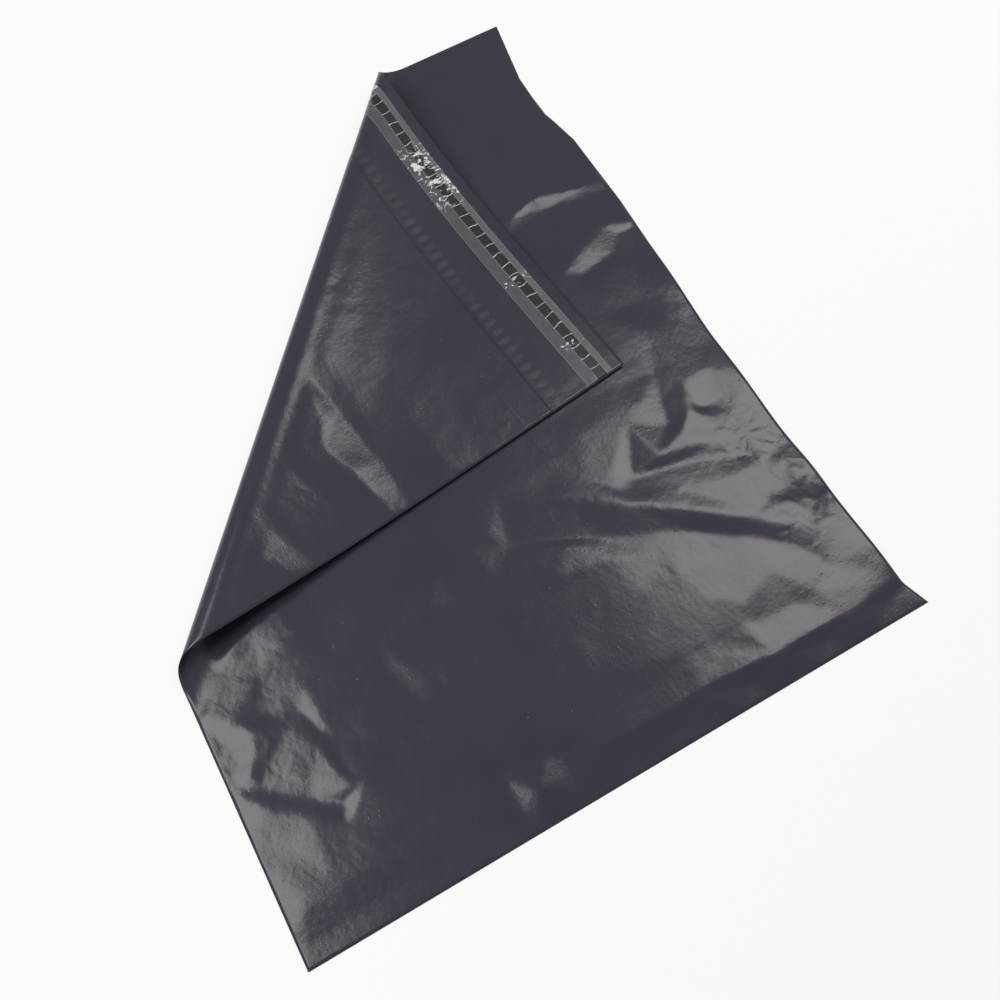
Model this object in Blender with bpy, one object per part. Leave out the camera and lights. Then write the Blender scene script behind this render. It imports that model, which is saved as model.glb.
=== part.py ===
# A plain polythene mailing bag, lying empty and flat, with the left corner of its mouth folded over.
# Each piece is drawn flat, on the bag's own layout, and one function then lays it down and rolls it over.

import math

import bmesh
import bpy
import numpy as np
from mathutils import Vector, geometry

MM = 0.001

# Flat sizes. The layout's origin is the bottom left corner, x runs along the bottom, y runs to the mouth.
WIDTH = 355.6 * MM
POCKET = 406.4 * MM
LIP = 50.8 * MM
LENGTH = POCKET + LIP
FILM = 0.07 * MM

# Closing strip, measured from the edge of the lip
LINER_NEAR = 7.4 * MM
LINER_FAR = 25.4 * MM
GLUE_NEAR = 11.5 * MM
GLUE_FAR = 18.0 * MM
STRIP_END = 1.2 * MM
LINER_THICK = 0.08 * MM
GLUE_THICK = 0.10 * MM

# Heights above the face that the bag lies on, as far as the film is flat
LINER_LEVEL = 0.10 * MM
GLUE_LEVEL = 0.48 * MM
PLY_LEVEL = 0.42 * MM
LIP_LEVEL = 0.96 * MM
LIP_RUN_IN = 14.0 * MM

# The fold leaves the floor along a line between the left edge and the mouth edge.
FOLD_UP_LEFT = 134.0 * MM
FOLD_FROM_RIGHT = 65.5 * MM
ROLL_AT_SIDE = 16.6 * MM
ROLL_AT_MOUTH = 18.0 * MM
FLAP_CLEAR = 3.2 * MM

# Cross-section of the roll: it bends past a half turn by the overshoot, then settles on the bag.
BEND_LENGTH = 3.6
SETTLED_AT = 17.6
PROFILE_STEPS = 3000
BEND_FACETS = 12
SETTLE_FACETS = 8
# The creases end clear of the roll, by these shares of its height
CREASED_TO = 0.4
CREASED_FROM = 0.6
CLEAR_OF_ROLL = 0.25

# Air left between the plies
BILLOW = 1.1 * MM
FLAP_BILLOW = 0.55 * MM
BILLOW_RUN_IN = 55.0 * MM
UNDER_FLAP = 0.35
FLAP_MARGIN = 18.0 * MM

# Mesh spacing
ROW_STEP = 22.0 * MM
OUTLINE_STEP = 16.0 * MM
ROLL_STEP = 26.0 * MM
KEEP_OFF = 10.0 * MM
EDGE_MARGIN = 2.0 * MM
SHORTEST_LINE = 1.0 * MM
TINY = 0.001 * MM
ROUNDING = 1e-6
MERGED = 1e-4

# Kinds of crease: height in millimetres at its start, middle and end
VALLEY = (0.0, 0.0, 0.0)
FOLD = (1.0, 1.2, 1.0)
RIDGE = (1.0, 2.5, 1.0)
RISING = (0.0, 0.8, 2.0)

# Creases, set by eye from the photograph: the kind, then corners in millimetres from a corner of the pocket.
# Between them the film stands in flat facets.
LEFT_CRUMPLE = (
    (VALLEY, (5, 10), (40, 12), (105, 8)),
    (RIDGE, (18, 156), (42, 160), (60, 157), (65, 148), (57, 141), (38, 138)),
    (RISING, (18, 150), (38, 148), (54, 146)),
    (FOLD, (4, 132), (14, 124), (21, 115), (20, 103), (12, 93)),
    (VALLEY, (3, 124), (9, 114), (10, 104)),
    (RISING, (31, 118), (37, 106), (48, 91), (55, 65)),
    (RISING, (47, 112), (57, 88), (62, 65)),
    (VALLEY, (4, 92), (15, 85), (33, 69)),
    (RISING, (4, 86), (12, 78), (30, 62), (45, 48), (62, 42)),
    (RISING, (10, 34), (28, 30), (42, 40)),
    (RIDGE, (96, 107), (107, 104), (113, 92), (105, 82)),
    (RIDGE, (122, 136), (128, 125), (126, 115)),
    (FOLD, (132, 6), (134, 18), (145, 30)),
)
RIGHT_CRUMPLE = (
    (RIDGE, (-165, 162), (-136, 144), (-105, 122), (-72, 99), (-50, 82), (-28, 67)),
    (VALLEY, (-172, 135), (-124, 112), (-86, 95), (-60, 76), (-40, 60), (-27, 40)),
    (RISING, (-78, 74), (-105, 90), (-130, 101), (-158, 107)),
    (RISING, (-2, 122), (-20, 127), (-45, 132), (-75, 139)),
    (VALLEY, (-95, 136), (-70, 130), (-50, 124), (-28, 117)),
    (RISING, (-2, 140), (-33, 144), (-58, 145)),
    (VALLEY, (-52, 157), (-23, 152), (-2, 152)),
    (FOLD, (-80, 119), (-58, 110), (-24, 107)),
    (FOLD, (-62, 103), (-40, 101), (-11, 97)),
    (FOLD, (-36, 88), (-15, 89), (-6, 86)),
    (VALLEY, (-11, 63), (-5, 52), (-4, 35)),
    (RIDGE, (-139, 157), (-120, 149), (-105, 140), (-103, 130)),
    (FOLD, (-121, 166), (-108, 170), (-84, 175), (-66, 172)),
    (VALLEY, (-140, 53), (-100, 62), (-78, 66)),
    (VALLEY, (-61, 55), (-46, 34), (-27, 27)),
    (FOLD, (-160, 63), (-147, 46), (-122, 38)),
    (RIDGE, (-187, 19), (-127, 20), (-85, 16), (-38, 15), (-4, 18)),
    (FOLD, (-165, 168), (-176, 157), (-179, 144)),
    (RISING, (-4, 158), (-18, 171), (-41, 165)),
)
MOUTH_END_CREASES = (
    (VALLEY, (-75, -101), (-49, -94), (-4, -100)),
    (FOLD, (-68, -91), (-48, -86), (-4, -94)),
    (RIDGE, (-64, -140), (-22, -122), (-3, -136)),
    (VALLEY, (-44, -138), (-23, -139), (-5, -146)),
    (VALLEY, (-28, -180), (-15, -182), (-3, -181)),
)
# On the folded corner, the other ply is on top.
FLAP_CREASES = (
    (VALLEY, (110, -102), (69, -99), (46, -98), (3, -97)),
    (RIDGE, (84, -103), (61, -106), (53, -120), (43, -113), (24, -109)),
    (RISING, (66, -158), (57, -139), (55, -127)),
    (VALLEY, (52, -171), (26, -162), (3, -155)),
    (VALLEY, (43, -185), (18, -174), (9, -169)),
    (FOLD, (46, -66), (24, -67), (6, -66)),
)

# The right edge has crept in, and stands off the floor in places: y, how far in.
EDGE_CREEP = ((0, 0), (15, 5), (60, 6), (120, 8), (190, 8), (295, 3.5), (350, 4), (375, 10), (410, 9), (457, 0))
CREEP_RUN_IN = 60.0 * MM
# y, half length, height
EDGE_LIFTS = ((36, 26, 1.2), (92, 24, 1.6), (158, 34, 1.2), (232, 34, 1.2), (372, 24, 1.6))
LIFT_RUN_IN = 26.0 * MM

FILM_COLOUR = (0.060, 0.060, 0.072, 1.0)
GLUE_COLOUR = (0.085, 0.085, 0.098, 1.0)
LINER_COLOUR = (0.40, 0.40, 0.42, 1.0)


def placed(creases, corner):
    """Corners of creases in metres of the layout with their heights, kept inside the pocket."""
    low = (EDGE_MARGIN, EDGE_MARGIN, 0.0)
    high = (WIDTH - EDGE_MARGIN, POCKET - EDGE_MARGIN, WIDTH)
    chains = []
    for kind, *corners in creases:
        share = np.linspace(0.0, 1.0, len(corners))
        heights = np.interp(share, (0.0, 0.5, 1.0), kind)
        chain = np.column_stack((corners, heights)) * MM + (*corner, 0.0)
        chains.append(np.clip(chain, low, high))
    return chains


BASE_CREASES = (
    placed(LEFT_CRUMPLE, (0.0, 0.0))
    + placed(RIGHT_CRUMPLE, (WIDTH, 0.0))
    + placed(MOUTH_END_CREASES, (WIDTH, POCKET))
)
CORNER_CREASES = placed(FLAP_CREASES, (0.0, POCKET))


def ease(x):
    x = np.clip(x, 0.0, 1.0)
    return x * x * (3.0 - 2.0 * x)


def roll_curve(overshoot):
    """Arc length, run, rise and slope angle of the roll's cross-section."""
    arc = np.linspace(0.0, SETTLED_AT, PROFILE_STEPS)
    settling = 1 - np.clip((SETTLED_AT - arc) / (SETTLED_AT - BEND_LENGTH), 0.0, 1.0) ** 2
    angle = (math.pi + overshoot) * ease(arc / BEND_LENGTH) - overshoot * settling
    middle = (angle[1:] + angle[:-1]) / 2
    run = np.append(0.0, np.cumsum(np.cos(middle) * np.diff(arc)))
    rise = np.append(0.0, np.cumsum(np.sin(middle) * np.diff(arc)))
    return arc, run, rise, angle


def roll_profile():
    """The curve whose overshoot brings it back down to the level it left, scaled to a height of 1."""
    low, high = 0.0, 1.2
    for _ in range(50):
        overshoot = (low + high) / 2
        if roll_curve(overshoot)[2][-1] > 0:
            low = overshoot
        else:
            high = overshoot
    arc, run, rise, angle = roll_curve(overshoot)
    height = rise.max()
    return arc / height, run / height, rise / height, angle


ARC, RUN, RISE, ANGLE = roll_profile()
BEND_END = BEND_LENGTH / SETTLED_AT * ARC[-1]
FOLD_START = np.array([0.0, FOLD_UP_LEFT])
FOLD_END = np.array([WIDTH - FOLD_FROM_RIGHT, LENGTH])
FOLD_RUN = np.linalg.norm(FOLD_END - FOLD_START)
ALONG = (FOLD_END - FOLD_START) / FOLD_RUN
ACROSS = np.array([-ALONG[1], ALONG[0]])
TAPER = (ROLL_AT_MOUTH - ROLL_AT_SIDE) / FOLD_RUN
APEX = FOLD_START - ALONG * ROLL_AT_SIDE / TAPER


def turn_of(flat):
    """How far a point of the layout lies past the start of the roll, in local roll heights."""
    way = flat - APEX
    return np.arctan2(way @ ACROSS, way @ ALONG) / TAPER


def lay_down(flat, offset):
    """Place in the room of points of the layout, each the offset away from the ply that faces the floor."""
    flat = creep(flat)
    radius = np.linalg.norm(flat - APEX, axis=1)
    turn = turn_of(flat)
    past = np.maximum(turn - ARC[-1], 0.0)
    run = np.where(turn < 0, turn, np.interp(turn, ARC, RUN) - past) * TAPER
    rise = np.interp(turn, ARC, RISE) * TAPER * radius + FLAP_CLEAR * ease(turn / ARC[-1])
    angle = np.interp(turn, ARC, ANGLE)
    outward = np.outer(np.cos(run), ALONG) + np.outer(np.sin(run), ACROSS)
    sideways = np.outer(np.cos(run), ACROSS) - np.outer(np.sin(run), ALONG)
    level = APEX + outward * radius[:, None] - sideways * (offset * np.sin(angle))[:, None]
    return np.column_stack([level - [WIDTH / 2, LENGTH / 2], rise + offset * np.cos(angle)])


def creep(flat):
    """Draws the right edge in by the table's amounts."""
    rows = np.array(EDGE_CREEP) * MM
    moved = flat.copy()
    share = ease(1 - (WIDTH - flat[:, 0]) / CREEP_RUN_IN)
    moved[:, 0] -= np.interp(flat[:, 1], rows[:, 0], rows[:, 1]) * share
    return moved


def edge_lift(flat):
    lift = np.zeros(len(flat))
    for middle, half, height in np.array(EDGE_LIFTS) * MM:
        lift = np.maximum(lift, height * ease(1 - np.abs(flat[:, 1] - middle) / half))
    return lift * ease(1 - (WIDTH - flat[:, 0]) / LIFT_RUN_IN)


def edge_distance(flat):
    """Distance from the nearest closed edge or from the mouth line."""
    sides = np.minimum(flat[:, 0], WIDTH - flat[:, 0])
    ends = np.minimum(flat[:, 1], POCKET - flat[:, 1])
    return np.maximum(np.minimum(sides, ends), 0.0)


def under_flap(flat):
    """1 where the folded corner lies over the bag, 0 well clear of it."""
    middle = (ARC[-1] + RUN[-1]) * TAPER
    way = flat - APEX
    radius = np.linalg.norm(way, axis=1)
    bearing = middle - turn_of(flat) * TAPER
    mirrored = APEX + radius[:, None] * (np.outer(np.cos(bearing), ALONG) + np.outer(np.sin(bearing), ACROSS))
    inside = np.minimum(mirrored[:, 0], LENGTH - mirrored[:, 1])
    return ease(1 + inside / FLAP_MARGIN) * (turn_of(flat) < 0.5)


def clear_of(points, others, gap):
    """The points that lie at least the gap away from all the others."""
    apart = np.linalg.norm(points[:, None] - others[None], axis=2).min(axis=1)
    return points[apart >= gap]


def outline_points(low, high, step):
    corners = [low, (high[0], low[1]), high, (low[0], high[1])]
    points = []
    for first, second in zip(corners, corners[1:] + corners[:1]):
        first, second = np.array(first), np.array(second)
        count = max(1, round(np.linalg.norm(second - first) / step))
        points += [first + (second - first) * i / count for i in range(count)]
    return np.array(points)


def crease_ends(creases):
    """The corners of all the creases in one list, and the pairs of them that a crease joins."""
    corners = np.concatenate(creases)
    last = np.cumsum([len(crease) for crease in creases]) - 1
    return corners, [(i, i + 1) for i in range(len(corners) - 1) if i not in last]


def field_points(taken):
    """An even field of points over the pocket, clear of its edges and of the points taken already."""
    across = np.arange(ROW_STEP / 2, WIDTH, ROW_STEP)
    up = np.arange(ROW_STEP / 2, POCKET, ROW_STEP)
    field = np.array([(x, y) for y in up for x in across])
    return clear_of(field[edge_distance(field) > KEEP_OFF], taken, KEEP_OFF)


def triangles(points, joined):
    """A triangulation of the layout that keeps the joined pairs as edges."""
    corners = [Vector(point) for point in np.round(points / MM, 3)]
    made = geometry.delaunay_2d_cdt(corners, joined, [], 0, MERGED)
    return np.array([tuple(point) for point in made[0]]) * MM, [tuple(face) for face in made[2]], made[3]


def crease_net(creases, puff):
    """The flat facets that the film makes between its creases: corners on the layout, heights, faces."""
    corners, joined = crease_ends(creases)
    rim = outline_points((0.0, 0.0), (WIDTH, POCKET), OUTLINE_STEP)
    field = field_points(corners[:, :2])
    heights = np.concatenate([corners[:, 2], np.zeros(len(rim)), puff(field)])
    points, faces, sources = triangles(np.concatenate([corners[:, :2], rim, field]), joined)
    levels = [heights[source].max() if source else 0.0 for source in sources]
    return points, np.array(levels), np.array(faces)


def net_height(net, flat):
    """Height of the facets at points of the layout; 0 beyond the pocket."""
    points, levels, faces = net
    height = np.zeros(len(flat))
    for face in faces:
        first, second, third = points[face]
        low = np.min(points[face], axis=0) - TINY
        high = np.max(points[face], axis=0) + TINY
        near = np.flatnonzero(((flat >= low) & (flat <= high)).all(axis=1))
        shares = (flat[near] - first) @ np.linalg.inv(np.array([second - first, third - first]))
        inside = (shares >= -ROUNDING).all(axis=1) & (shares.sum(axis=1) <= 1 + ROUNDING)
        start, rise = levels[face[0]], levels[face[1:]] - levels[face[0]]
        height[near[inside]] = start + shares[inside] @ rise
    return height


def base_puff(flat):
    under = 1 - (1 - UNDER_FLAP) * under_flap(flat)
    return BILLOW * ease(edge_distance(flat) / BILLOW_RUN_IN) * under


def corner_puff(flat):
    return FLAP_BILLOW * ease(edge_distance(flat) / BILLOW_RUN_IN)


def ply_levels(flat):
    """Offsets of the outer faces of the ply that faces the floor and of the ply above it."""
    turn = turn_of(flat)
    in_flap = ease((turn - BEND_END) / CREASED_FROM)
    lift = edge_lift(flat)
    lip = ease(1 + (flat[:, 1] - POCKET) / LIP_RUN_IN)
    upper = PLY_LEVEL + (LIP_LEVEL - PLY_LEVEL) * lip + lift
    upper = upper + net_height(BASE_NET, flat) * ease(-turn / CREASED_TO)
    lower = lift - net_height(CORNER_NET, flat) * in_flap
    return lower, upper


BASE_NET = crease_net(BASE_CREASES, base_puff)
CORNER_NET = crease_net(CORNER_CREASES, corner_puff)


def generator_turns():
    """Positions of the straight lines that run along the roll, one at each equal step of its slope."""
    bend = ARC <= BEND_END
    steps = np.linspace(0.0, ANGLE[bend][-1], BEND_FACETS + 1)
    return np.append(np.interp(steps, ANGLE[bend], ARC[bend]), np.linspace(BEND_END, ARC[-1], SETTLE_FACETS + 1)[1:])


def generator_line(turn, low, high, step):
    """Points of one such line inside a rectangle of the layout."""
    way = math.cos(turn * TAPER) * ALONG + math.sin(turn * TAPER) * ACROSS
    start = max((low - APEX) / way)
    end = min((high - APEX) / way)
    if end - start < SHORTEST_LINE:
        return np.empty((0, 2))
    count = max(1, round((end - start) / step))
    return APEX + np.outer(np.linspace(start, end, count + 1), way)


def is_outside_roll(points):
    turn = turn_of(points)
    return (turn < -CLEAR_OF_ROLL) | (turn > BEND_END + CLEAR_OF_ROLL)


def outside_roll(points):
    return points[is_outside_roll(points)]


def layout_mesh(low, high, creases):
    """Triangles of a rectangle of the layout, with edges on every line that the film bends along."""
    low, high = np.array(low), np.array(high)
    points = [outside_roll(outline_points(low, high, OUTLINE_STEP))]
    joined = []
    for turn in generator_turns():
        line = generator_line(turn, low, high, ROLL_STEP)
        if len(line):
            first = sum(map(len, points))
            joined.append((first, first + len(line) - 1))
            points.append(line)
    first = sum(map(len, points))
    points.append(np.array([low, (high[0], low[1]), high, (low[0], high[1])]))
    joined += [(first + i, first + (i + 1) % 4) for i in range(4)]
    points = np.concatenate(points)
    if creases:
        points, joined = add_body_points(points, joined, creases)
    return triangles(points, joined)[:2]


def add_body_points(points, joined, creases):
    """Adds the mouth line, the creases that lie clear of the roll, and the field between them."""
    first = len(points)
    mouth = np.array([(0.0, POCKET), (WIDTH, POCKET)])
    corners, pairs = crease_ends(creases)
    corners = corners[:, :2]
    clear = is_outside_roll(corners)
    kept = np.cumsum(clear) - 1
    joined.append((first, first + 1))
    joined += [(first + 2 + kept[i], first + 2 + kept[j]) for i, j in pairs if clear[i] and clear[j]]
    points = np.concatenate([points, mouth, corners[clear]])
    field = outside_roll(field_points(points))
    across = np.arange(ROW_STEP / 2, WIDTH, ROW_STEP)
    along_mouth = outside_roll(np.column_stack([across, np.full(len(across), POCKET)]))
    return np.concatenate([points, field, along_mouth]), joined


def add_object(name, mesh, thickness, colour, roughness):
    """Makes one object of the surface, given its thickness on the side away from its normals."""
    data = bpy.data.meshes.new(name)
    mesh.to_mesh(data)
    mesh.free()
    piece = bpy.data.objects.new(name, data)
    bpy.context.scene.collection.objects.link(piece)
    solid = piece.modifiers.new("thickness", "SOLIDIFY")
    solid.thickness = thickness
    solid.offset = -1.0
    material = bpy.data.materials.new(name)
    material.use_nodes = True
    shader = material.node_tree.nodes["Principled BSDF"]
    shader.inputs["Base Color"].default_value = colour
    shader.inputs["Roughness"].default_value = roughness
    shader.inputs["Metallic"].default_value = 0.0
    piece.data.materials.append(material)
    return piece


def is_seam(first, second):
    """Whether an edge of the layout lies on a side or on the bottom, where the two plies are joined."""
    for axis, value in ((0, 0.0), (0, WIDTH), (1, 0.0)):
        if abs(first[axis] - value) < TINY and abs(second[axis] - value) < TINY:
            return max(first[1], second[1]) < POCKET + TINY
    return False


def mailer_bag():
    """One film: the ply above, with the lip, the ply below, and the seam between them on three sides."""
    flat, faces = layout_mesh((0.0, 0.0), (WIDTH, LENGTH), BASE_CREASES + CORNER_CREASES)
    lower, upper = ply_levels(flat)
    mesh = bmesh.new()
    above = [mesh.verts.new(co) for co in lay_down(flat, upper)]
    below = [mesh.verts.new(co) for co in lay_down(flat, lower)]
    for face in faces:
        mesh.faces.new([above[i] for i in face])
        if flat[list(face), 1].mean() > POCKET:
            continue
        mesh.faces.new([below[i] for i in reversed(face)])
        for i, j in zip(face, face[1:] + face[:1]):
            if is_seam(flat[i], flat[j]):
                mesh.faces.new([above[j], above[i], below[i], below[j]])
    loose = [vert for vert in mesh.verts if not vert.link_faces]
    bmesh.ops.delete(mesh, geom=loose, context="VERTS")
    bmesh.ops.triangulate(mesh, faces=mesh.faces[:])
    return add_object("mailer_bag", mesh, FILM, FILM_COLOUR, 0.38)


def lip_strip(name, near, far, level, thickness, colour, roughness):
    """A thin strip along the lip, on the face that looks at the pocket."""
    low = (STRIP_END, LENGTH - far)
    high = (WIDTH - STRIP_END, LENGTH - near)
    flat, faces = layout_mesh(low, high, ())
    mesh = bmesh.new()
    corners = [mesh.verts.new(co) for co in lay_down(flat, np.full(len(flat), level + thickness))]
    for face in faces:
        mesh.faces.new([corners[i] for i in face])
    return add_object(name, mesh, thickness, colour, roughness)


def main():
    for old in list(bpy.data.objects):
        bpy.data.objects.remove(old)
    mailer_bag()
    lip_strip("adhesive_strip", GLUE_NEAR, GLUE_FAR, GLUE_LEVEL, GLUE_THICK, GLUE_COLOUR, 0.30)
    lip_strip("release_liner", LINER_NEAR, LINER_FAR, LINER_LEVEL, LINER_THICK, LINER_COLOUR, 0.25)


main()
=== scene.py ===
# A plain polythene mailing bag, lying empty and flat, with the left corner of its mouth folded over.
# Every sheet is drawn flat, on the bag's own layout, and one function lays it down and rolls it over.

import math

import bmesh
import bpy
import numpy as np
from mathutils import Euler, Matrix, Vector, geometry


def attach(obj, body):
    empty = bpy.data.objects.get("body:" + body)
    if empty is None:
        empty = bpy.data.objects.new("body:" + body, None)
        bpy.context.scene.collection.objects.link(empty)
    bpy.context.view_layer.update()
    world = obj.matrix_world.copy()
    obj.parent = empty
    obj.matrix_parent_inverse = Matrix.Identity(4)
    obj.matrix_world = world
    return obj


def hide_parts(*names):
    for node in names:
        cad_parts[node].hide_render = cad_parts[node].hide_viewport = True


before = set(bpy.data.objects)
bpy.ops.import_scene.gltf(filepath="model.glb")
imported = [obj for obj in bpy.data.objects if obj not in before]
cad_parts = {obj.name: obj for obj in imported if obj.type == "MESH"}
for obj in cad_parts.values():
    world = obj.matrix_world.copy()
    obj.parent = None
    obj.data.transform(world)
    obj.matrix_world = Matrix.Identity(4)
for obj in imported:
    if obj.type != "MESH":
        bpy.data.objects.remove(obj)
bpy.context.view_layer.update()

MM = 0.001

# Sizes, as in the CAD model. The layout's origin is the bottom left corner.
WIDTH = 355.6 * MM
POCKET = 406.4 * MM
LIP = 50.8 * MM
LENGTH = POCKET + LIP
FILM = 0.07 * MM
LINER_NEAR = 7.4 * MM
LINER_FAR = 25.4 * MM
GLUE_NEAR = 11.5 * MM
GLUE_FAR = 18.0 * MM
STRIP_END = 1.2 * MM
LINER_THICK = 0.05 * MM
GLUE_THICK = 0.06 * MM
LINER_LEVEL = 0.03 * MM
GLUE_LEVEL = 0.11 * MM
PLY_LEVEL = 0.24 * MM
SEAM_LEVEL = 0.16 * MM
LIP_LEVEL = 0.27 * MM
LIP_RUN_IN = 14.0 * MM
FOLD_UP_LEFT = 134.0 * MM
FOLD_FROM_RIGHT = 65.5 * MM
ROLL_AT_SIDE = 16.6 * MM
ROLL_AT_MOUTH = 18.0 * MM
FLAP_CLEAR = 3.2 * MM
BILLOW = 1.1 * MM
FLAP_BILLOW = 0.55 * MM
BILLOW_RUN_IN = 55.0 * MM
SEAM_RUN_IN = 2.0 * MM
UNDER_FLAP = 0.35
FLAP_MARGIN = 18.0 * MM
CREEP_RUN_IN = 60.0 * MM
LIFT_RUN_IN = 26.0 * MM

# The roll's cross-section: where it has bent over and where it has settled, as lengths along its curve
BEND_LENGTH = 3.6
SETTLED_AT = 17.6
PROFILE_STEPS = 3000
MOST_OVERSHOOT = 1.2
HALVINGS = 50
# The roll has begun this far past its start, in roll heights, and the creases fade out over these to either side
ROLL_BEGUN = 0.5
CREASED_TO = 0.4
CREASED_FROM = 0.6

ROW_STEP = 22.0 * MM
OUTLINE_STEP = 16.0 * MM
KEEP_OFF = 10.0 * MM
EDGE_MARGIN = 2.0 * MM
TINY = 0.001 * MM
ROUNDING = 1e-6
MERGED = 1e-4
DECIMALS = 3
CELL = 1.95 * MM
STRIP_CELL = 1.0 * MM
OWN_SHARE = 2.0
LAYOUT_UNIT = 100.0 * MM

# Kinds of crease: height in millimetres at its start, middle and end
VALLEY = (0.0, 0.0, 0.0)
FOLD = (1.0, 1.2, 1.0)
RIDGE = (1.0, 2.5, 1.0)
RISING = (0.0, 0.8, 2.0)

# Creases: the kind, then corners in millimetres from a corner of the pocket. They follow the places where
# the fitted camera puts the creases of the photograph, rounded. Between them are flat facets.
LEFT_CRUMPLE = (
    (VALLEY, (5, 10), (40, 12), (105, 8)),
    (RIDGE, (18, 156), (42, 160), (60, 157), (65, 148), (57, 141), (38, 138)),
    (RISING, (18, 150), (38, 148), (54, 146)),
    (FOLD, (4, 132), (14, 124), (21, 115), (20, 103), (12, 93)),
    (VALLEY, (3, 124), (9, 114), (10, 104)),
    (RISING, (31, 118), (37, 106), (48, 91), (55, 65)),
    (RISING, (47, 112), (57, 88), (62, 65)),
    (VALLEY, (4, 92), (15, 85), (33, 69), (48, 58)),
    (FOLD, (4, 86), (12, 78), (30, 62), (44, 49)),
    (FOLD, (10, 34), (28, 31), (42, 40)),
    (RIDGE, (96, 107), (107, 104), (113, 92), (105, 82)),
    (RIDGE, (122, 136), (128, 125), (126, 115)),
    (RIDGE, (130, 6), (134, 18), (145, 31)),
    (VALLEY, (147, 3), (152, 14), (153, 27)),
    (FOLD, (8, 25), (50, 27), (96, 22)),
    (FOLD, (88, 70), (78, 58)),
)
RIGHT_CRUMPLE = (
    (RIDGE, (-165, 162), (-136, 144), (-105, 122), (-72, 99), (-50, 82), (-28, 67)),
    (VALLEY, (-172, 135), (-124, 112), (-86, 95), (-60, 76), (-40, 60), (-27, 40)),
    (RISING, (-78, 74), (-105, 90), (-130, 101), (-158, 107)),
    (RISING, (-2, 122), (-20, 127), (-45, 132), (-75, 139)),
    (VALLEY, (-95, 136), (-70, 130), (-50, 124), (-28, 117)),
    (RISING, (-2, 140), (-33, 144), (-58, 145)),
    (VALLEY, (-36, 152), (-23, 151), (-2, 152)),
    (VALLEY, (-50, 184), (-56, 168), (-62, 152)),
    (FOLD, (-80, 119), (-58, 110), (-24, 107)),
    (FOLD, (-62, 103), (-40, 101), (-11, 97)),
    (FOLD, (-36, 88), (-15, 89), (-6, 86)),
    (VALLEY, (-11, 63), (-5, 52), (-4, 35)),
    (VALLEY, (-31, 81), (-22, 76), (-18, 66)),
    (FOLD, (-139, 157), (-120, 149), (-105, 140), (-103, 130)),
    (FOLD, (-121, 166), (-108, 170), (-84, 175), (-66, 172)),
    (FOLD, (-96, 56), (-84, 47), (-89, 39)),
    (FOLD, (-61, 55), (-46, 34), (-27, 27)),
    (FOLD, (-160, 63), (-147, 46), (-122, 38)),
    (RIDGE, (-187, 19), (-127, 20), (-85, 16), (-38, 15), (-4, 18)),
    (FOLD, (-165, 168), (-176, 157), (-179, 144)),
    (RISING, (-4, 158), (-16, 171), (-37, 170), (-45, 154)),
)
MOUTH_END_CREASES = (
    (VALLEY, (-75, -101), (-49, -94), (-4, -100)),
    (RIDGE, (-76, -92), (-46, -84), (-4, -92)),
    (RIDGE, (-62, -140), (-40, -130), (-20, -122), (-3, -128)),
    (VALLEY, (-50, -146), (-25, -142), (-5, -148)),
    (VALLEY, (-28, -180), (-15, -182), (-3, -181)),
)
# On the folded corner, the other ply is on top.
FLAP_CREASES = (
    (VALLEY, (110, -102), (69, -98), (33, -95), (3, -96)),
    (RIDGE, (88, -104), (70, -107), (56, -116), (36, -111), (20, -109), (4, -107)),
    (RISING, (66, -158), (57, -139), (55, -127)),
    (VALLEY, (52, -171), (26, -162), (3, -155)),
    (FOLD, (45, -187), (20, -178), (6, -169)),
    (FOLD, (46, -66), (24, -67), (6, -66)),
)

# How far the right edge has crept in, as the same camera puts it: y and the creep, in millimetres
EDGE_CREEP = (
    (0, 0),
    (15, 5),
    (60, 6),
    (120, 8),
    (190, 8),
    (295, 3.5),
    (350, 4),
    (375, 10),
    (410, 9),
    (457, 0),
)
# Where the right edge stands off the floor: middle, half length and height, in millimetres
EDGE_LIFTS = ((36, 26, 1.2), (92, 24, 1.6), (158, 34, 1.2), (232, 34, 1.2), (372, 24, 1.6))


def placed(creases, corner):
    """Corners of creases in metres of the layout with their heights, kept inside the pocket."""
    low = (EDGE_MARGIN, EDGE_MARGIN, 0.0)
    high = (WIDTH - EDGE_MARGIN, POCKET - EDGE_MARGIN, WIDTH)
    chains = []
    for kind, *corners in creases:
        share = np.linspace(0.0, 1.0, len(corners))
        heights = np.interp(share, (0.0, 0.5, 1.0), kind)
        chain = np.column_stack((corners, heights)) * MM + (*corner, 0.0)
        chains.append(np.clip(chain, low, high))
    return chains


BASE_CREASES = (
    placed(LEFT_CRUMPLE, (0.0, 0.0))
    + placed(RIGHT_CRUMPLE, (WIDTH, 0.0))
    + placed(MOUTH_END_CREASES, (WIDTH, POCKET))
)
CORNER_CREASES = placed(FLAP_CREASES, (0.0, POCKET))


def ease(x):
    """Smoothly from 0 at 0 to 1 at 1."""
    x = np.clip(x, 0.0, 1.0)
    return x * x * (3.0 - 2.0 * x)


def roll_curve(overshoot):
    """Arc length, run, rise and slope angle of the roll's cross-section."""
    arc = np.linspace(0.0, SETTLED_AT, PROFILE_STEPS)
    settling = 1 - np.clip((SETTLED_AT - arc) / (SETTLED_AT - BEND_LENGTH), 0.0, 1.0) ** 2
    angle = (math.pi + overshoot) * ease(arc / BEND_LENGTH) - overshoot * settling
    middle = (angle[1:] + angle[:-1]) / 2
    run = np.append(0.0, np.cumsum(np.cos(middle) * np.diff(arc)))
    rise = np.append(0.0, np.cumsum(np.sin(middle) * np.diff(arc)))
    return arc, run, rise, angle


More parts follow.
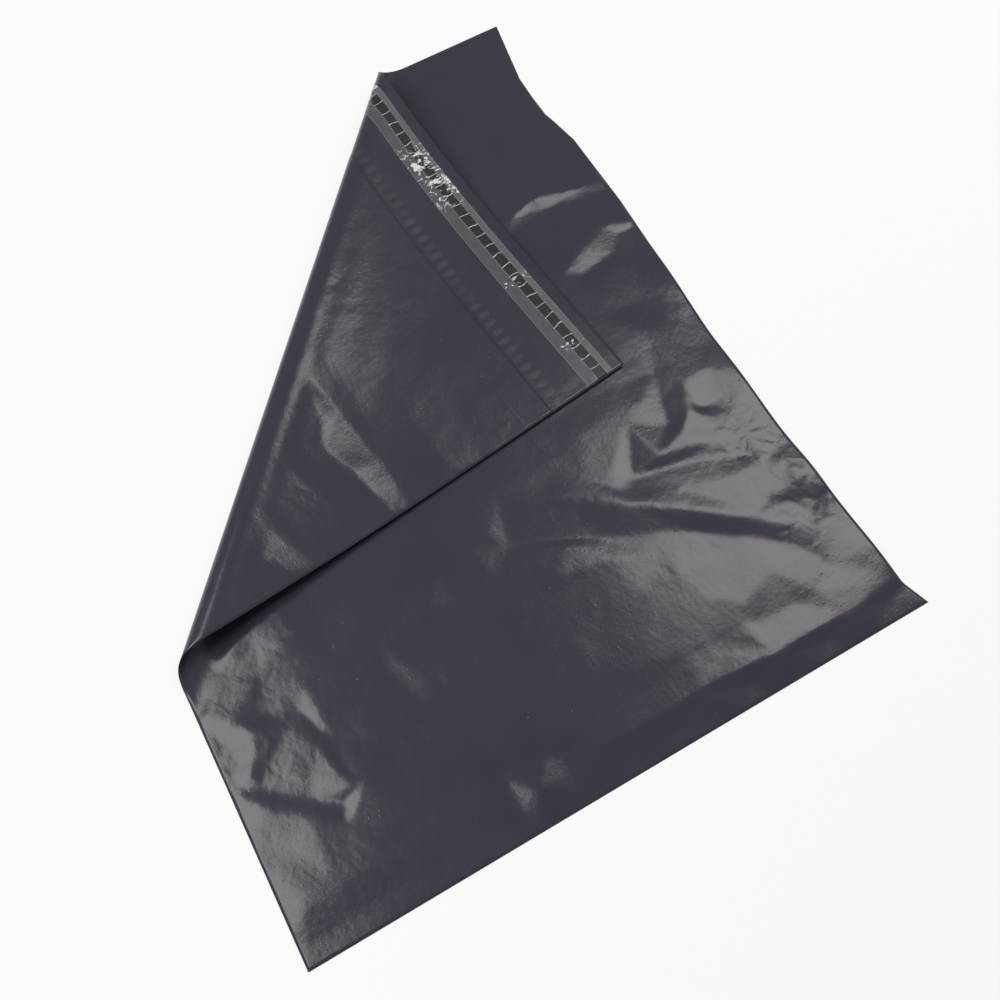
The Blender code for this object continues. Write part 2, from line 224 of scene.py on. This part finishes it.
def roll_profile():
    """The curve whose overshoot brings it back down to the level it left, scaled to a height of 1."""
    low, high = 0.0, MOST_OVERSHOOT
    for _ in range(HALVINGS):
        overshoot = (low + high) / 2
        if roll_curve(overshoot)[2][-1] > 0:
            low = overshoot
        else:
            high = overshoot
    arc, run, rise, angle = roll_curve(overshoot)
    height = rise.max()
    return arc / height, run / height, rise / height, angle


ARC, RUN, RISE, ANGLE = roll_profile()
BEND_END = BEND_LENGTH / SETTLED_AT * ARC[-1]
FOLD_START = np.array([0.0, FOLD_UP_LEFT])
FOLD_END = np.array([WIDTH - FOLD_FROM_RIGHT, LENGTH])
FOLD_RUN = np.linalg.norm(FOLD_END - FOLD_START)
ALONG = (FOLD_END - FOLD_START) / FOLD_RUN
ACROSS = np.array([-ALONG[1], ALONG[0]])
TAPER = (ROLL_AT_MOUTH - ROLL_AT_SIDE) / FOLD_RUN
APEX = FOLD_START - ALONG * ROLL_AT_SIDE / TAPER


def turn_of(flat):
    """How far a point of the layout lies past the start of the roll, in local roll heights."""
    way = flat - APEX
    return np.arctan2(way @ ACROSS, way @ ALONG) / TAPER


def lay_down(flat, offset):
    """Place in the room of points of the layout, each the offset away from the ply that faces the floor."""
    flat = creep(flat)
    radius = np.linalg.norm(flat - APEX, axis=1)
    turn = turn_of(flat)
    past = np.maximum(turn - ARC[-1], 0.0)
    run = np.where(turn < 0, turn, np.interp(turn, ARC, RUN) - past) * TAPER
    rise = np.interp(turn, ARC, RISE) * TAPER * radius + FLAP_CLEAR * ease(turn / ARC[-1])
    angle = np.interp(turn, ARC, ANGLE)
    outward = np.outer(np.cos(run), ALONG) + np.outer(np.sin(run), ACROSS)
    sideways = np.outer(np.cos(run), ACROSS) - np.outer(np.sin(run), ALONG)
    level = APEX + outward * radius[:, None] - sideways * (offset * np.sin(angle))[:, None]
    return np.column_stack([level - [WIDTH / 2, LENGTH / 2], rise + offset * np.cos(angle)])


def creep(flat):
    """The layout with its right edge drawn in."""
    rows = np.array(EDGE_CREEP) * MM
    moved = flat.copy()
    share = ease(1 - (WIDTH - flat[:, 0]) / CREEP_RUN_IN)
    moved[:, 0] -= np.interp(flat[:, 1], rows[:, 0], rows[:, 1]) * share
    return moved


def edge_lift(flat):
    """How far the film stands off the floor along the right edge."""
    lift = np.zeros(len(flat))
    for middle, half, height in np.array(EDGE_LIFTS) * MM:
        lift = np.maximum(lift, height * ease(1 - np.abs(flat[:, 1] - middle) / half))
    return lift * ease(1 - (WIDTH - flat[:, 0]) / LIFT_RUN_IN)


def edge_distance(flat):
    """Distance of points of the layout from the nearest edge of the pocket; 0 beyond it."""
    sides = np.minimum(flat[:, 0], WIDTH - flat[:, 0])
    ends = np.minimum(flat[:, 1], POCKET - flat[:, 1])
    return np.maximum(np.minimum(sides, ends), 0.0)


def under_flap(flat):
    """1 where the folded corner lies over the bag, 0 well clear of it."""
    middle = (ARC[-1] + RUN[-1]) * TAPER
    radius = np.linalg.norm(flat - APEX, axis=1)
    bearing = middle - turn_of(flat) * TAPER
    outward = np.outer(np.cos(bearing), ALONG) + np.outer(np.sin(bearing), ACROSS)
    mirrored = APEX + radius[:, None] * outward
    inside = np.minimum(mirrored[:, 0], LENGTH - mirrored[:, 1])
    return ease(1 + inside / FLAP_MARGIN) * (turn_of(flat) < ROLL_BEGUN)


def clear_of(points, others, gap):
    """The points that are at least the gap away from all the others."""
    apart = np.linalg.norm(points[:, None] - others[None], axis=2).min(axis=1)
    return points[apart >= gap]


def outline_points(low, high, step):
    """Evenly spaced points along the edges of a rectangle."""
    corners = [low, (high[0], low[1]), high, (low[0], high[1])]
    points = []
    for first, second in zip(corners, corners[1:] + corners[:1]):
        first, second = np.array(first), np.array(second)
        count = max(1, round(np.linalg.norm(second - first) / step))
        points += [first + (second - first) * i / count for i in range(count)]
    return np.array(points)


def crease_ends(creases):
    """The corners of all the creases in one list, and the pairs of them that a crease joins."""
    corners = np.concatenate(creases)
    last = np.cumsum([len(crease) for crease in creases]) - 1
    return corners, [(i, i + 1) for i in range(len(corners) - 1) if i not in last]


def field_points(taken):
    """An even field of points over the pocket, clear of its edges and of the points taken already."""
    across = np.arange(ROW_STEP / 2, WIDTH, ROW_STEP)
    up = np.arange(ROW_STEP / 2, POCKET, ROW_STEP)
    field = np.array([(x, y) for y in up for x in across])
    return clear_of(field[edge_distance(field) > KEEP_OFF], taken, KEEP_OFF)


def triangles(points, joined):
    """A triangulation of the layout that keeps the joined pairs as edges."""
    corners = [Vector(point) for point in np.round(points / MM, DECIMALS)]
    made = geometry.delaunay_2d_cdt(corners, joined, [], 0, MERGED)
    places = np.array([tuple(point) for point in made[0]]) * MM
    return places, [tuple(face) for face in made[2]], made[3]


def crease_net(creases, puff):
    """The flat facets that the film makes between its creases: corners on the layout, heights, faces."""
    corners, joined = crease_ends(creases)
    rim = outline_points((0.0, 0.0), (WIDTH, POCKET), OUTLINE_STEP)
    field = field_points(corners[:, :2])
    heights = np.concatenate([corners[:, 2], np.zeros(len(rim)), puff(field)])
    points, faces, sources = triangles(np.concatenate([corners[:, :2], rim, field]), joined)
    levels = [heights[source].max() if source else 0.0 for source in sources]
    return points, np.array(levels), np.array(faces)


def net_height(net, flat):
    """Height of the facets at points of the layout; 0 beyond the pocket."""
    points, levels, faces = net
    height = np.zeros(len(flat))
    for face in faces:
        first, second, third = points[face]
        low = np.min(points[face], axis=0) - TINY
        high = np.max(points[face], axis=0) + TINY
        near = np.flatnonzero(((flat >= low) & (flat <= high)).all(axis=1))
        shares = (flat[near] - first) @ np.linalg.inv(np.array([second - first, third - first]))
        inside = (shares >= -ROUNDING).all(axis=1) & (shares.sum(axis=1) <= 1 + ROUNDING)
        start, rise = levels[face[0]], levels[face[1:]] - levels[face[0]]
        height[near[inside]] = start + shares[inside] @ rise
    return height


def base_puff(flat):
    """How far the upper ply billows, less so under the folded corner."""
    under = 1 - (1 - UNDER_FLAP) * under_flap(flat)
    return BILLOW * ease(edge_distance(flat) / BILLOW_RUN_IN) * under


def corner_puff(flat):
    """How far the ply on top of the folded corner billows."""
    return FLAP_BILLOW * ease(edge_distance(flat) / BILLOW_RUN_IN)


BASE_NET = crease_net(BASE_CREASES, base_puff)
CORNER_NET = crease_net(CORNER_CREASES, corner_puff)


def ply_levels(flat):
    """Offsets of the outer faces of the ply that faces the floor and of the ply above it."""
    turn = turn_of(flat)
    in_flap = ease((turn - BEND_END) / CREASED_FROM)
    lift = edge_lift(flat)
    lip = ease(1 + (flat[:, 1] - POCKET) / LIP_RUN_IN)
    sides = np.minimum(np.minimum(flat[:, 0], WIDTH - flat[:, 0]), flat[:, 1])
    welded = SEAM_LEVEL + (PLY_LEVEL - SEAM_LEVEL) * ease(sides / SEAM_RUN_IN)
    upper = welded + (LIP_LEVEL - welded) * lip + lift
    upper = upper + net_height(BASE_NET, flat) * ease(-turn / CREASED_TO)
    lower = lift - net_height(CORNER_NET, flat) * in_flap
    return lower, upper


def flat_grid(low, high, cell):
    """A grid of quads over a rectangle of the layout, and the layout position of each corner."""
    mesh = bmesh.new()
    size = np.array(high) - np.array(low)
    counts = np.maximum(1, np.round(size / cell)).astype(int)
    bmesh.ops.create_grid(mesh, x_segments=int(counts[0]), y_segments=int(counts[1]), size=0.5)
    flat = np.array([vert.co[:2] for vert in mesh.verts])
    return mesh, (flat + 0.5) * size + np.array(low)


def snap_to_crests(flat, creases, reach):
    """Moves grid points that nearly lie on a crease onto it, so that the crease stays sharp."""
    flat = flat.copy()
    for crease in creases:
        for start, end in zip(crease[:-1, :2], crease[1:, :2]):
            way = (end - start) / np.linalg.norm(end - start)
            side = np.array([-way[1], way[0]])
            away = (flat - start) @ side
            along = (flat - start) @ way
            near = (np.abs(away) < reach) & (along > 0) & (along < (end - start) @ way)
            flat[near] -= away[near][:, None] * side
    return flat


def softened(mesh, offset):
    """Offsets with each one averaged with its neighbours on the grid, so that creases are slightly round."""
    mesh.verts.index_update()
    ends = np.array([[vert.index for vert in edge.verts] for edge in mesh.edges])
    total = offset * OWN_SHARE
    count = np.full(len(offset), OWN_SHARE)
    for one, other in (ends.T, ends.T[::-1]):
        np.add.at(total, one, offset[other])
        np.add.at(count, one, 1)
    return total / count


def put_in_scene(name, data):
    """A new object that holds the data."""
    item = bpy.data.objects.new(name, data)
    bpy.context.scene.collection.objects.link(item)
    return item


def mesh_object(name, mesh):
    """A new object from a finished mesh."""
    data = bpy.data.meshes.new(name)
    mesh.to_mesh(data)
    mesh.free()
    return put_in_scene(name, data)


def sheet_object(name, mesh, flat, offset, thickness, facing_up):
    """Lays the grid down, gives it its thickness and keeps the layout as its UV map."""
    layer = mesh.loops.layers.uv.new("layout")
    mesh.verts.ensure_lookup_table()
    for vert, place in zip(mesh.verts, lay_down(flat, offset)):
        vert.co = place
    mesh.verts.index_update()
    for face in mesh.faces:
        face.smooth = True
        for loop in face.loops:
            loop[layer].uv = flat[loop.vert.index] / LAYOUT_UNIT
    if not facing_up:
        bmesh.ops.reverse_faces(mesh, faces=mesh.faces[:])
    piece = mesh_object(name, mesh)
    solid = piece.modifiers.new("thickness", "SOLIDIFY")
    solid.thickness = thickness
    solid.offset = -1.0
    return piece


class Value:
    """A shader socket that can be used in sums."""

    def __init__(self, graph, socket):
        self.graph = graph
        self.socket = socket

    def _math(self, operation, *others):
        return self.graph.math(operation, self, *others)

    def __add__(self, other):
        return self._math("ADD", other)

    __radd__ = __add__

    def __sub__(self, other):
        return self._math("SUBTRACT", other)

    def __rsub__(self, other):
        return self.graph.math("SUBTRACT", other, self)

    def __mul__(self, other):
        return self._math("MULTIPLY", other)

    __rmul__ = __mul__

    def __truediv__(self, other):
        return self._math("DIVIDE", other)

    def fade(self, start, end, low=0.0, high=1.0):
        """Smoothly from low at start to high at end."""
        ends = {"Value": self, "From Min": start, "From Max": end, "To Min": low, "To Max": high}
        return self.graph.add("ShaderNodeMapRange", ends, "Result", interpolation_type="SMOOTHSTEP")


class Graph:
    """The node tree of one material or of the room."""

    def __init__(self, owner):
        self.owner = owner
        owner.use_nodes = True
        self.tree = owner.node_tree

    def feed(self, socket, value):
        """Links a value to a socket, or sets a number or colour on it."""
        if isinstance(value, Value):
            self.tree.links.new(value.socket, socket)
        else:
            socket.default_value = value

    def add(self, kind, inputs, out=0, **settings):
        """An output of a new node, whose settings are made before its inputs are fed."""
        node = self.tree.nodes.new(kind)
        for name, value in settings.items():
            setattr(node, name, value)
        for name, value in inputs.items():
            self.feed(node.inputs[name], value)
        return Value(self, node.outputs[out])

    def math(self, operation, *values):
        return self.add("ShaderNodeMath", dict(enumerate(values)), operation=operation)

    def layout(self):
        """The layout position, in millimetres, as a vector and as x and y."""
        flat = self.add("ShaderNodeUVMap", {}, uv_map="layout")
        inputs = {0: flat, "Scale": LAYOUT_UNIT / MM}
        scaled = self.add("ShaderNodeVectorMath", inputs, operation="SCALE")
        x = self.add("ShaderNodeSeparateXYZ", {0: scaled}, "X")
        y = self.add("ShaderNodeSeparateXYZ", {0: scaled}, "Y")
        return scaled, x, y

    def stretched(self, vector, x, y):
        return self.add("ShaderNodeMapping", {"Vector": vector, "Scale": (x, y, 1.0)})

    def noise(self, vector, size, detail=2.0, roughness=0.5, distortion=0.0, out="Fac"):
        """Soft noise with a grain of this size in the units of the vector."""
        inputs = {"Vector": vector, "Scale": 1.0 / size, "Detail": detail, "Roughness": roughness}
        inputs["Distortion"] = distortion
        return self.add("ShaderNodeTexNoise", inputs, out)

    def cells(self, vector, size, feature="DISTANCE_TO_EDGE"):
        """Distance to the edge, or to the middle with F1, of irregular cells of this size."""
        inputs = {"Vector": vector, "Scale": 1.0 / size}
        return self.add("ShaderNodeTexVoronoi", inputs, "Distance", feature=feature)

    def mix_colour(self, share, first, second):
        return self.add("ShaderNodeMix", {0: share, 6: first, 7: second}, 2, data_type="RGBA")

    def bump(self, height, depth, below=None):
        """Relief of this depth, laid over the relief below it."""
        inputs = {"Height": height, "Distance": depth, "Strength": 1.0}
        if below is not None:
            inputs["Normal"] = below
        return self.add("ShaderNodeBump", inputs, "Normal")

    def shade(self, **inputs):
        """Feeds the material's own shader; an underscore stands for a space in a socket's name."""
        shader = self.tree.nodes["Principled BSDF"]
        for name, value in inputs.items():
            self.feed(shader.inputs[name.replace("_", " ")], value)


WHITE = (1.0, 1.0, 1.0, 1.0)
FILM_DARK = (0.036, 0.036, 0.054, 1.0)
FILM_LIGHT = (0.041, 0.041, 0.058, 1.0)
FILM_PRESSED = (0.066, 0.066, 0.080, 1.0)
DUST = (0.30, 0.30, 0.31, 1.0)
FILM_ROUGH = 0.22
FILM_IOR = 1.5

# Sizes of the patterns in the film, in millimetres
CLOUDS = 60.0
RIPPLE = 26.0
CRUMPLED = 48.0
FACETS = 17.0
SMALL_FACETS = 12.0
CRINKLE = 3.2
NUBS = 4.5
GRAIN = 0.5
DUST_APART = 7.0
DUST_DRIFT = 20.0
WARP = 14.0
WARP_REACH = 9.0

# Depths of the relief
RIPPLE_DEPTH = 0.5 * MM
FACET_DEPTH = 0.09 * MM
CRINKLE_DEPTH = 0.075 * MM
NUB_DEPTH = 0.045 * MM
GRAIN_DEPTH = 0.006 * MM
FACET_RISE = (0.0, 0.35)
SMALL_FACET_SHARE = 1.5
LEFT_ZONE_SHARE = 0.55
PRESSED_SHARE = 0.8

# Zones of small facets, in millimetres: where x fades in, where y fades in and where y fades out
RIGHT_ZONE = ((288.0, 328.0), (40.0, 75.0), (165.0, 125.0))
LEFT_ZONE = ((70.0, 35.0), (45.0, 75.0), (175.0, 145.0))

# The row of pressed ovals and the fold beside the mouth, in millimetres
PRESS_PITCH = 7.0
PRESS_START = 2.5
PRESS_HALF_WIDTH = 2.3
PRESS_HALF_LENGTH = 4.4
PRESS_FROM_LIP = 45.5
PRESS_WANDER = 5.0
PRESS_BENDS = 35.0
PRESS_PATCHES = 27.0
PRESS_END = (230.0, 205.0)
MOUTH_FOLD = 388.5
MOUTH_FOLD_HALF = 1.1
MOUTH_FOLD_PATCHES = 24.0
MOUTH_FOLD_END = (165.0, 130.0)


def pressed_row(graph, layout, x, y):
    """The row of soft ovals pressed into the lip beside the mouth of the pocket."""
    wander = (graph.noise(layout, PRESS_BENDS, 1.0) - 0.5) * PRESS_WANDER
    across = graph.math("PINGPONG", x + PRESS_START, PRESS_PITCH / 2) / PRESS_HALF_WIDTH
    along = (y - (LENGTH / MM - PRESS_FROM_LIP) + wander) / PRESS_HALF_LENGTH
    ovals = (across * across + along * along).fade(1.2, 0.1)
    present = graph.noise(layout, PRESS_PATCHES, 1.0).fade(0.30, 0.50, 0.25, 1.0)
    return ovals * present * x.fade(*PRESS_END)


def mouth_fold(graph, layout, x, y):
    """The faint fold that runs beside the mouth on the folded corner."""
    present = graph.noise(layout, MOUTH_FOLD_PATCHES, 1.0).fade(0.34, 0.5, 0.2, 1.0)
    line = graph.math("ABSOLUTE", y - MOUTH_FOLD).fade(MOUTH_FOLD_HALF, 0.0)
    return line * x.fade(*MOUTH_FOLD_END) * present


def dust(graph, layout):
    """Pale specks, thicker in some places than in others."""
    spots = graph.cells(layout, DUST_APART, "F1").fade(0.035, 0.015)
    return spots * graph.noise(layout, DUST_DRIFT, 1.0).fade(0.42, 0.6)


def layout_shift(graph, layout, size, reach):
    """The layout, pushed about by a noise, so that what is drawn on it doesn't look regular."""
    push = graph.noise(layout, size, out="Color")
    inputs = {0: push, 1: (reach, reach, 0.0), 2: layout}
    return graph.add("ShaderNodeVectorMath", inputs, operation="MULTIPLY_ADD")


def in_zone(x, y, zone):
    """1 inside a zone of the layout and 0 outside it."""
    across, up, down = zone
    return x.fade(*across) * y.fade(*up) * y.fade(*down)


def small_facets(graph, warped, x, y):
    """The small crumples low on the right edge and at the left."""
    where = in_zone(x, y, RIGHT_ZONE) + in_zone(x, y, LEFT_ZONE) * LEFT_ZONE_SHARE
    return graph.cells(warped, SMALL_FACETS).fade(*FACET_RISE) * where


def film_material():
    """Grey film with ripples, the facets of crumpled film, fine crinkles, nubs, grain and dust."""
    graph = Graph(bpy.data.materials.new("grey_film"))
    layout, x, y = graph.layout()
    clouds = graph.noise(layout, CLOUDS, 3.0)
    grain = graph.noise(layout, GRAIN, 2.0)
    ripple = graph.noise(layout, RIPPLE, 3.0, 0.45)
    warped = layout_shift(graph, layout, WARP, WARP_REACH)
    crumpled = graph.noise(layout, CRUMPLED, 1.0).fade(0.48, 0.68)
    facets = graph.cells(warped, FACETS).fade(*FACET_RISE) * crumpled
    facets = facets + small_facets(graph, warped, x, y) * SMALL_FACET_SHARE
    crinkle = graph.noise(layout, CRINKLE, 3.0, 0.6)
    nubs = graph.cells(layout, NUBS, "F1").fade(0.22, 0.05) * clouds.fade(0.4, 0.65)
    pressed = pressed_row(graph, layout, x, y) * PRESSED_SHARE
    specks = dust(graph, layout)
    colour = graph.mix_colour(clouds.fade(0.3, 0.7), FILM_DARK, FILM_LIGHT)
    colour = graph.mix_colour(pressed, colour, FILM_PRESSED)
    colour = graph.mix_colour(specks, colour, DUST)
    rough = FILM_ROUGH + (grain - 0.5) * 0.08 + (clouds - 0.5) * 0.06 + specks * 0.3
    raised = nubs + pressed + specks + mouth_fold(graph, layout, x, y)
    normal = graph.bump(ripple, RIPPLE_DEPTH)
    normal = graph.bump(facets, FACET_DEPTH, normal)
    normal = graph.bump(crinkle, CRINKLE_DEPTH, normal)
    normal = graph.bump(raised, NUB_DEPTH, normal)
    normal = graph.bump(grain, GRAIN_DEPTH, normal)
    graph.shade(Base_Color=colour, Roughness=rough, Normal=normal, IOR=FILM_IOR)
    return graph.owner


GLUE_DARK = (0.010, 0.010, 0.014, 1.0)
GLUE_LIGHT = (0.022, 0.022, 0.027, 1.0)
GLUE_GRAIN = 2.0
GLUE_PATCHES = 40.0
GLUE_DEPTH = 0.03 * MM


def glue_material():
    """Dark, nearly glossy glue, slightly uneven."""
    graph = Graph(bpy.data.materials.new("closing_glue"))
    layout = graph.layout()[0]
    grain = graph.noise(layout, GLUE_GRAIN, 2.0)
    colour = graph.mix_colour(graph.noise(layout, GLUE_PATCHES, 1.0), GLUE_DARK, GLUE_LIGHT)
    normal = graph.bump(grain, GLUE_DEPTH)
    graph.shade(Base_Color=colour, Roughness=0.2 + grain * 0.1, Normal=normal)
    return graph.owner


CLEAR = (0.42, 0.42, 0.44, 1.0)
# The liner whitened in the lines across the glue, and the painted white highlight on its puckers
WHITENED_AND_HIGHLIGHT = (0.95, 0.95, 0.95, 1.0)
LINER_ROUGH = 0.16
LINER_RELIEF = 0.12 * MM
# How much the clear film hides: its margins nearer to and farther from the lip's edge, over the glue, and
# along its painted edge highlights, where it is whitened and where its puckers carry a painted highlight
NEAR_ALPHA = 0.17
FAR_ALPHA = 0.10
GLUE_ALPHA = 0.015
EDGE_HIGHLIGHT_ALPHA = 0.14
WHITENED_AND_HIGHLIGHT_ALPHA = 0.75
MOST_ALPHA = 0.95
# Sizes of the liner's patterns and the blur at the glue's edges, in millimetres
WRINKLE = 4.2
STREAK = 3.0
EDGE_BLUR = 0.3
# Lines across the liner where it has gone white over the glue, in millimetres
CROSS_PITCH = 8.6
CROSS_WOBBLE = 5.0
CROSS_BENDS = 11.0
# Painted highlights, as bright lines along the liner's and the glue's edges: distance from the lip's edge and
# half width, in millimetres
PAINTED_EDGE_HIGHLIGHTS = ((11.5, 0.45), (18.0, 0.5), (25.1, 0.4), (7.7, 0.5))
EDGE_HIGHLIGHT_CORE = 0.1
# Where the liner is puckered, with a painted white highlight on its puckers: middle and half length along it in
# millimetres, and how strongly
PUCKER_HIGHLIGHT_ZONES = ((172.0, 30.0, 1.0), (248.0, 9.0, 0.8), (82.0, 3.5, 1.0), (28.0, 3.5, 1.0))


def edge_highlight_lines(graph, down):
    """Painted highlights: bright lines along the liner's edges and the edges of the glue."""
    edge_highlights = 0.0
    for middle, half in PAINTED_EDGE_HIGHLIGHTS:
        edge_highlights = graph.math("ABSOLUTE", down - middle).fade(half, EDGE_HIGHLIGHT_CORE) + edge_highlights
    return edge_highlights


def pucker_highlights(graph, x, creased):
    """Where the liner has come up off the glue: a painted white highlight on its wrinkles, which are also raised
    as a bump.
    """
    zone = 0.0
    for middle, half, share in PUCKER_HIGHLIGHT_ZONES:
        zone = graph.math("ABSOLUTE", x - middle).fade(half, half / 2) * share + zone
    return creased.fade(0.53, 0.60) * zone


def over_the_glue(down):
    """1 over the band of glue and 0 beside it."""
    near = GLUE_NEAR / MM
    far = GLUE_FAR / MM
    return down.fade(near - EDGE_BLUR, near + EDGE_BLUR) * down.fade(far + EDGE_BLUR, far - EDGE_BLUR)


def liner_material():
    """Clear film: grey at its two margins, with painted highlights along its edges and on its puckers, and
    whitened where it crosses the glue.
    """
    graph = Graph(bpy.data.materials.new("clear_liner"))
    layout, x, y = graph.layout()
    down = LENGTH / MM - y
    wrinkle = graph.noise(graph.stretched(layout, 1.0, 0.7), WRINKLE, 3.0, 0.7, 1.2)
    streak = graph.noise(graph.stretched(layout, 0.5, 1.6), STREAK, 3.0, 0.6)
    over_glue = over_the_glue(down)
    # Painted highlights along the liner's and the glue's edges, made by letting the grey film hide more there
    edge_highlights = edge_highlight_lines(graph, down)
    wobble = (graph.noise(layout, CROSS_BENDS, 1.0) - 0.5) * CROSS_WOBBLE
    cross = graph.math("PINGPONG", x + wobble, CROSS_PITCH / 2).fade(0.34, 0.08) * over_glue
    cross = cross * streak.fade(0.30, 0.55, 0.35, 1.0)
    # Whitened lines across the glue, plus the painted white highlights on the puckers
    whitened_and_highlight = graph.math("MINIMUM", cross + pucker_highlights(graph, x, wrinkle), 1.0)
    margin = down.fade(11.4, 17.9, NEAR_ALPHA, FAR_ALPHA) + (streak - 0.5) * 0.12
    alpha = margin * (1.0 - over_glue) + over_glue * GLUE_ALPHA
    alpha = alpha + edge_highlights * EDGE_HIGHLIGHT_ALPHA + whitened_and_highlight * WHITENED_AND_HIGHLIGHT_ALPHA
    alpha = graph.math("MINIMUM", graph.math("MAXIMUM", alpha, 0.0), MOST_ALPHA)
    colour = graph.mix_colour(whitened_and_highlight, CLEAR, WHITENED_AND_HIGHLIGHT)
    normal = graph.bump(wrinkle, LINER_RELIEF)
    normal = graph.bump(whitened_and_highlight + edge_highlights * 0.3, LINER_RELIEF, normal)
    rough = LINER_ROUGH + streak * 0.1
    graph.shade(Base_Color=colour, Roughness=rough, Alpha=alpha, Normal=normal)
    return graph.owner


def film_ply(name, length, creases, upper):
    """The ply that faces the floor, or the upper ply with the lip."""
    mesh, flat = flat_grid((0.0, 0.0), (WIDTH, length), CELL)
    flat = snap_to_crests(flat, creases, CELL / 2)
    lower_level, upper_level = ply_levels(flat)
    offset = softened(mesh, upper_level if upper else lower_level)
    return sheet_object(name, mesh, flat, offset, FILM, upper)


def lip_strip(name, near, far, level, thickness):
    """A strip along the lip, between two distances from its edge."""
    low = (STRIP_END, LENGTH - far)
    high = (WIDTH - STRIP_END, LENGTH - near)
    mesh, flat = flat_grid(low, high, STRIP_CELL)
    return sheet_object(name, mesh, flat, np.full(len(flat), level + thickness), thickness, True)


def finish_piece(piece, material, node):
    piece.data.materials.append(material)
    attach(piece, "root")
    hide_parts(node)


LAMP_COLOUR = (1.0, 0.95, 0.92)
# Softboxes: name, place, width and depth in metres, and power in watts
SOFTBOXES = (
    ("left_softbox", (-0.90, 0.15, 1.1), 1.02, 0.78, 12.0),
    ("right_softbox", (0.92, 0.15, 1.1), 1.12, 0.42, 7.5),
)
ROOM_COLOUR = (0.95, 0.97, 1.0, 1.0)
ROOM_STRENGTH = 0.30
FLOOR_HALF = 3.0
FLOOR_BELOW = 0.3 * MM
FLOOR_PALE = (0.92, 0.92, 0.92, 1.0)
FLOOR_LIFT = 0.8


def softbox(name, place, width, depth, power):
    """A soft lamp that faces straight down."""
    data = bpy.data.lights.new(name, "AREA")
    data.shape = "RECTANGLE"
    data.size = width
    data.size_y = depth
    data.energy = power
    data.color = LAMP_COLOUR
    lamp = put_in_scene(name, data)
    lamp.location = place
    lamp.rotation_euler = Vector((0.0, 0.0, -place[2])).to_track_quat("-Z", "Y").to_euler()


def backdrop():
    """White for the camera, a dim grey room for the light that falls on the bag."""
    world = bpy.data.worlds.new("room")
    bpy.context.scene.world = world
    graph = Graph(world)
    graph.tree.nodes.clear()
    output = graph.tree.nodes.new("ShaderNodeOutputWorld")
    seen = graph.add("ShaderNodeBackground", {"Color": WHITE})
    room = graph.add("ShaderNodeBackground", {"Color": ROOM_COLOUR, "Strength": ROOM_STRENGTH})
    to_camera = graph.add("ShaderNodeLightPath", {}, "Is Camera Ray")
    mixed = graph.add("ShaderNodeMixShader", {0: to_camera, 1: room, 2: seen})
    graph.feed(output.inputs["Surface"], mixed)


def floor():
    """A pale floor. To the camera it is nearly white and keeps a faint shadow of the bag."""
    mesh = bmesh.new()
    bmesh.ops.create_grid(mesh, x_segments=1, y_segments=1, size=FLOOR_HALF)
    bmesh.ops.translate(mesh, vec=(0.0, 0.0, -FLOOR_BELOW), verts=mesh.verts)
    ground = mesh_object("floor", mesh)
    graph = Graph(bpy.data.materials.new("pale_floor"))
    graph.shade(Base_Color=FLOOR_PALE, Roughness=1.0)
    pale = Value(graph, graph.tree.nodes["Principled BSDF"].outputs[0])
    glow = graph.add("ShaderNodeEmission", {"Color": WHITE, "Strength": 1.0})
    to_camera = graph.add("ShaderNodeLightPath", {}, "Is Camera Ray") * FLOOR_LIFT
    mixed = graph.add("ShaderNodeMixShader", {0: to_camera, 1: pale, 2: glow})
    graph.feed(graph.tree.nodes["Material Output"].inputs["Surface"], mixed)
    ground.data.materials.append(graph.owner)


# The camera's place and turn, from a fit to the bag's corners and fold in the photograph
CAMERA_PLACE = (0.1083 - WIDTH / 2, -0.0199 - LENGTH / 2, 0.5071)
CAMERA_TURN = (-0.3412, 0.1535, 0.4910)
SENSOR = 36.0
NEAREST_SEEN = 0.01


def camera():
    """Placed and turned so that the bag's corners and fold fall where the photograph has them."""
    data = bpy.data.cameras.new("camera")
    data.sensor_width = SENSOR
    data.lens = SENSOR
    data.clip_start = NEAREST_SEEN
    item = put_in_scene("camera", data)
    item.location = CAMERA_PLACE
    item.rotation_euler = Euler(CAMERA_TURN).to_matrix().transposed().to_euler()
    bpy.context.scene.camera = item


back = film_ply("back_ply", LENGTH, BASE_CREASES, True)
front = film_ply("front_ply", POCKET, CORNER_CREASES, False)
film = film_material()
finish_piece(back, film, "mailer_bag")
finish_piece(front, film, "mailer_bag")
glue = lip_strip("glue_band", GLUE_NEAR, GLUE_FAR, GLUE_LEVEL, GLUE_THICK)
finish_piece(glue, glue_material(), "adhesive_strip")
liner = lip_strip("liner_film", LINER_NEAR, LINER_FAR, LINER_LEVEL, LINER_THICK)
finish_piece(liner, liner_material(), "release_liner")
camera()
backdrop()
floor()
for box in SOFTBOXES:
    softbox(*box)
bpy.context.scene.view_settings.view_transform = "Standard"
